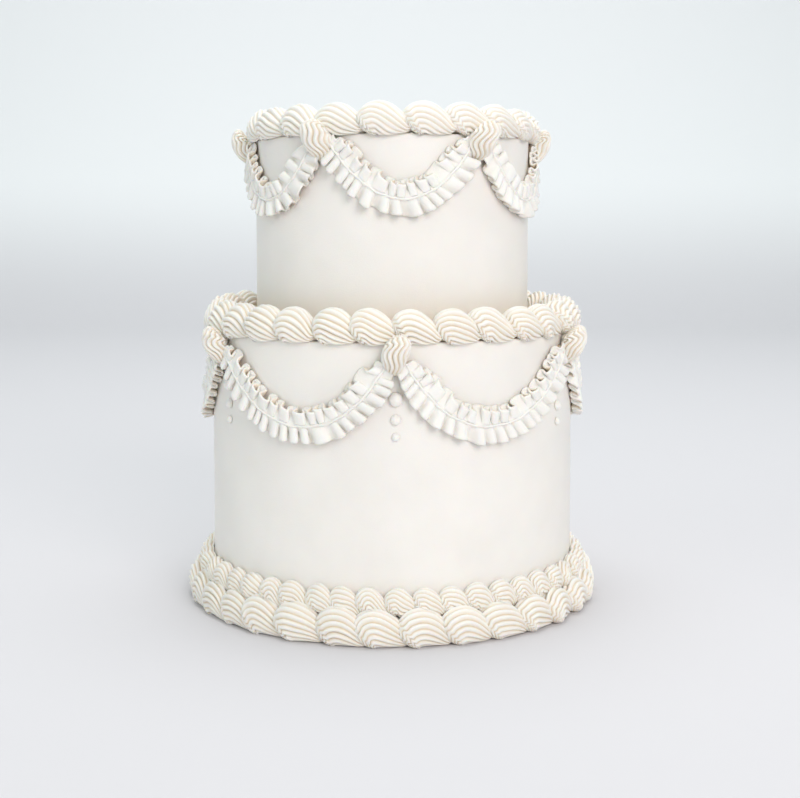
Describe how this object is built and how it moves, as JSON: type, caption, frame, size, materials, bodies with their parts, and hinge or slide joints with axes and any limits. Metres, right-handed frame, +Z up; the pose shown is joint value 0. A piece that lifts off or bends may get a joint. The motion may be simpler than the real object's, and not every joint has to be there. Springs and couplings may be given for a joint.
{
  "type": "lambeth cake",
  "caption": "Round two-tier celebration cake in ivory buttercream, with piped shell borders, ruffled garland swags, drop shells and dots.",
  "frame": {"origin": "centre of the lower tier's underside, on the surface that the cake stands on", "axes": "+Z up along both tiers' common axis; -Y is the side that the picture shows; +X to the right of it"},
  "size_m": [0.2418, 0.2412, 0.2848],
  "materials": {
    "smooth_icing": "smoothed ivory buttercream, soft satin",
    "piped_icing": "piped ivory buttercream, matte with fine ridges"
  },
  "bodies": {
    "root": {"lower_tier": "smooth_icing", "upper_tier": "smooth_icing", "lower_rim_border": "piped_icing", "upper_rim_border": "piped_icing", "base_large_border": "piped_icing", "base_small_border": "piped_icing", "lower_swag_1": "piped_icing", "lower_swag_2": "piped_icing", "lower_swag_3": "piped_icing", "lower_swag_4": "piped_icing", "lower_swag_5": "piped_icing", "lower_swag_6": "piped_icing", "upper_swag_1": "piped_icing", "upper_swag_2": "piped_icing", "upper_swag_3": "piped_icing", "upper_swag_4": "piped_icing", "upper_swag_5": "piped_icing", "upper_swag_6": "piped_icing", "lower_drop_shell_1": "piped_icing", "lower_drop_shell_2": "piped_icing", "lower_drop_shell_3": "piped_icing", "lower_drop_shell_4": "piped_icing", "lower_drop_shell_5": "piped_icing", "lower_drop_shell_6": "piped_icing", "upper_drop_shell_1": "piped_icing", "upper_drop_shell_2": "piped_icing", "upper_drop_shell_3": "piped_icing", "upper_drop_shell_4": "piped_icing", "upper_drop_shell_5": "piped_icing", "upper_drop_shell_6": "piped_icing", "dot_1_1": "piped_icing", "dot_1_2": "piped_icing", "dot_1_3": "piped_icing", "dot_2_1": "piped_icing", "dot_2_2": "piped_icing", "dot_2_3": "piped_icing", "dot_3_1": "piped_icing", "dot_3_2": "piped_icing", "dot_3_3": "piped_icing", "dot_4_1": "piped_icing", "dot_4_2": "piped_icing", "dot_4_3": "piped_icing", "dot_5_1": "piped_icing", "dot_5_2": "piped_icing", "dot_5_3": "piped_icing", "dot_6_1": "piped_icing", "dot_6_2": "piped_icing", "dot_6_3": "piped_icing"}
  },
  "joints": []
}
